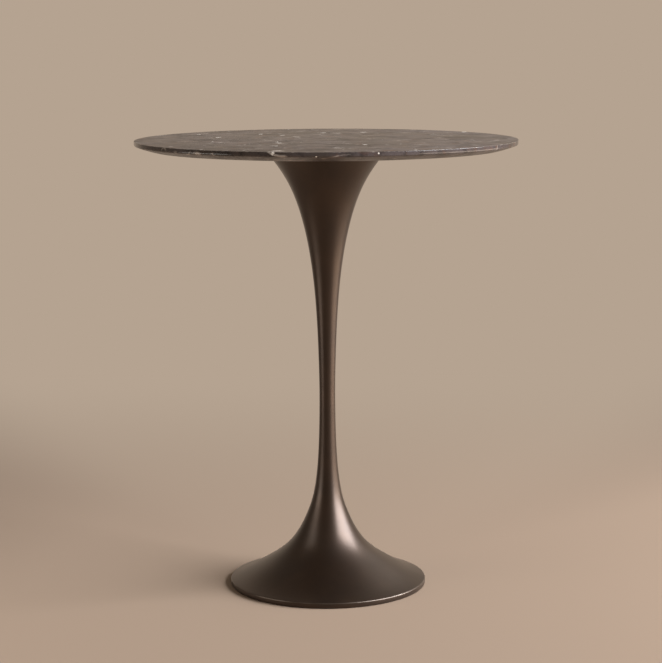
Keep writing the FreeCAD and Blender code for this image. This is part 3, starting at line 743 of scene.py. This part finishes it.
thread = {
    "steps": 24, "depthShare": 0.613, "toothShares": ((0, 0), (0, 0.125), (1, 0.4375), (1, 0.5625)),
    "runInTurns": 1.5,
}
hexagon = {
    "edgeBreak": 0.2 * mm, "edgeSteps": 2, "crownFlatShare": 0.475, "crownReachShare": 0.65,
    "crownDegrees": 30, "crownSteps": 64,
}


def threadedBar(name, radius, pitch, low, high, lead):
    # a zigzag wire wound up by one pitch a turn, cut flat and turned down to a lead at its ends
    root = radius - thread["depthShare"] * pitch
    base = low - thread["runInTurns"] * pitch
    turns = math.ceil((high - base) / pitch) + 1
    bm = bmesh.new()
    verts = []
    for turn in range(turns):
        for out, along in thread["toothShares"]:
            verts.append(bm.verts.new((root + out * (radius - root), 0, base + (turn + along) * pitch)))
    verts.append(bm.verts.new((root, 0, base + turns * pitch)))
    for one, other in zip(verts, verts[1:]):
        bm.edges.new((one, other))
    bmesh.ops.spin(bm, geom=bm.verts[:] + bm.edges[:], cent=(0, 0, 0), axis=(0, 0, 1),
                   dvec=(0, 0, pitch / thread["steps"]), angle=2 * math.pi, steps=thread["steps"],
                   use_merge=False, use_normal_flip=False, use_duplicate=False)
    bmesh.ops.remove_doubles(bm, verts=bm.verts[:], dist=drawing["threadJoin"])
    for height, below in ((low, True), (high, False)):
        cut = bmesh.ops.bisect_plane(bm, geom=bm.verts[:] + bm.edges[:] + bm.faces[:],
                                     plane_co=(0, 0, height), plane_no=(0, 0, 1),
                                     clear_inner=below, clear_outer=not below)
        ring = [e for e in cut["geom_cut"] if isinstance(e, bmesh.types.BMEdge)]
        bmesh.ops.edgeloop_fill(bm, edges=ring)
    for vert in bm.verts:
        allowed = radius - max(0, lead - (vert.co.z - low), lead - (high - vert.co.z))
        if vert.co.xy.length > allowed:
            vert.co.xy *= allowed / vert.co.xy.length
    bmesh.ops.recalc_face_normals(bm, faces=bm.faces[:])
    return newObject(name, bm)


def hexagonBar(name, width, low, high, crowned):
    # a hexagon by its width across flats, its edges just broken; a crown turns its lower corners off
    corner = width / math.sqrt(3)
    start = low - drawing["overrun"] if crowned else low
    bm = bmesh.new()
    made = bmesh.ops.create_cone(bm, cap_ends=True, segments=6, radius1=corner, radius2=corner,
                                 depth=high - start)
    bmesh.ops.rotate(bm, verts=made["verts"], cent=(0, 0, 0), matrix=Matrix.Rotation(math.pi / 6, 3, "Z"))
    bmesh.ops.translate(bm, verts=made["verts"], vec=(0, 0, (start + high) / 2))
    bmesh.ops.bevel(bm, geom=bm.edges[:], offset=hexagon["edgeBreak"], offset_type="OFFSET",
                    segments=hexagon["edgeSteps"], profile=0.5, affect="EDGES", material=-1)
    bar = newObject(name, bm)
    if crowned:
        flat, reach = hexagon["crownFlatShare"] * width, hexagon["crownReachShare"] * width
        rise = (reach - flat) * math.tan(math.radians(hexagon["crownDegrees"]))
        past = high + drawing["overrun"]
        blank = [(0, low), (flat, low), (reach, low + rise), (reach, past), (0, past)]
        carve(bar, newObject("blank", turnOutline(blank, hexagon["crownSteps"])), "INTERSECT")
    return bar


def setRound(piece, spots):
    # copies a piece made on the table's axis to its places on a circle, all in one mesh
    count = spots["count"]
    bm = bmesh.new()
    bm.from_mesh(piece.data)
    bmesh.ops.translate(bm, verts=bm.verts[:], vec=(spots["circle"], 0, 0))
    bmesh.ops.spin(bm, geom=bm.verts[:] + bm.edges[:] + bm.faces[:], cent=(0, 0, 0), axis=(0, 0, 1),
                   angle=2 * math.pi * (count - 1) / count, steps=count - 1, use_merge=False,
                   use_normal_flip=False, use_duplicate=True)
    bm.to_mesh(piece.data)
    bm.free()


# the bolts of the ballast, threaded up to the head

bolt = {
    "radius": 4 * mm, "pitch": 1.25 * mm, "lead": 1 * mm, "headWidth": 13 * mm, "headTop": 19.4 * mm,
}
low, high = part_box("ballast_bolts")
ballastBolts = hexagonBar("ballastBolts", bolt["headWidth"], low.z, bolt["headTop"], True)
carve(ballastBolts, threadedBar("shank", bolt["radius"], bolt["pitch"],
                                bolt["headTop"] - drawing["overrun"], high.z, bolt["lead"]), "UNION")
setRound(ballastBolts, foot["ballastSpots"])
dressPiece(ballastBolts, [zincFinish], "table", ["ballast_bolts"])


# the long rod that pulls the table together, plain but for its two ends

rod = {
    "radius": 6 * mm, "pitch": 1.75 * mm, "lead": 1 * mm, "lowerThread": 40 * mm, "upperThread": 34 * mm,
    "steps": 40,
}
low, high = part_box("tie_rod")
shankLow, shankHigh = low.z + rod["lowerThread"], high.z - rod["upperThread"]
shank = [(0, shankLow), (rod["radius"] - rod["lead"], shankLow), (rod["radius"], shankLow + rod["lead"]),
         (rod["radius"], shankHigh - rod["lead"]), (rod["radius"] - rod["lead"], shankHigh), (0, shankHigh)]
tieRod = newObject("tieRod", turnOutline(shank, rod["steps"]))
for start, stop in ((low.z, shankLow + rod["lead"]), (shankHigh - rod["lead"], high.z)):
    carve(tieRod, threadedBar("end", rod["radius"], rod["pitch"], start, stop, rod["lead"]), "UNION")
dressPiece(tieRod, [zincFinish], "table", ["tie_rod"])


# the studs of the levelling glides: a ball in the pad, a neck, a collar for a spanner, a thread

stud = {
    "ballRadius": 4 * mm, "neckRadius": 2.5 * mm, "arcSteps": 10, "collarWidth": 13 * mm,
    "collarLow": 8.7 * mm, "collarHigh": 11.7 * mm, "radius": 4 * mm, "pitch": 1.25 * mm,
    "lead": 0.8 * mm, "steps": 32,
}
low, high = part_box("glide_stud_1")
neckAngle = math.pi - math.asin(stud["neckRadius"] / stud["ballRadius"])
ball = []
for step in range(stud["arcSteps"] + 1):
    angle = neckAngle * step / stud["arcSteps"]
    ball.append((stud["ballRadius"] * math.sin(angle),
                 low.z + stud["ballRadius"] * (1 - math.cos(angle))))
neckTop = stud["collarLow"] + drawing["overrun"]
outline = [*ball, (stud["neckRadius"], neckTop), (0, neckTop)]
glideStud = newObject("glideStud", turnOutline(outline, stud["steps"]))
carve(glideStud, hexagonBar("collar", stud["collarWidth"], stud["collarLow"], stud["collarHigh"], False),
      "UNION")
carve(glideStud, threadedBar("shank", stud["radius"], stud["pitch"],
                             stud["collarHigh"] - drawing["overrun"], high.z, stud["lead"]), "UNION")
for number in range(1, foot["glideSpots"]["count"] + 1):
    low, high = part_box(f"glide_stud_{number}")
    bm = bmesh.new()
    bm.from_mesh(glideStud.data)
    bmesh.ops.translate(bm, verts=bm.verts[:], vec=((low.x + high.x) / 2, (low.y + high.y) / 2, 0))
    piece = newObject(f"glideStud{number}", bm)
    dressPiece(piece, [zincFinish], f"stud_{number}", [f"glide_stud_{number}"])
bpy.data.objects.remove(glideStud)
print("fasteners made")


# pieces whose shape is already right take only their finish

nodeFinishes = {
    "stone_inserts": brassFinish, "top_gasket": gasketFinish, "mounting_plate": plateFinish,
    "plate_hub": plateFinish, "plate_screws": zincFinish, "neck_sleeve": tubeFinish,
    "rod_washer": zincFinish, "rod_lock_washer": zincFinish, "rod_nut": zincFinish,
    "ballast_washers": zincFinish, "ballast_ring": ironFinish,
}
for number in range(1, foot["glideSpots"]["count"] + 1):
    nodeFinishes[f"glide_pad_{number}"] = padFinish
for node, finish in nodeFinishes.items():
    bpy.data.objects[node].material_slots[0].material = finish
print("hidden pieces dressed")
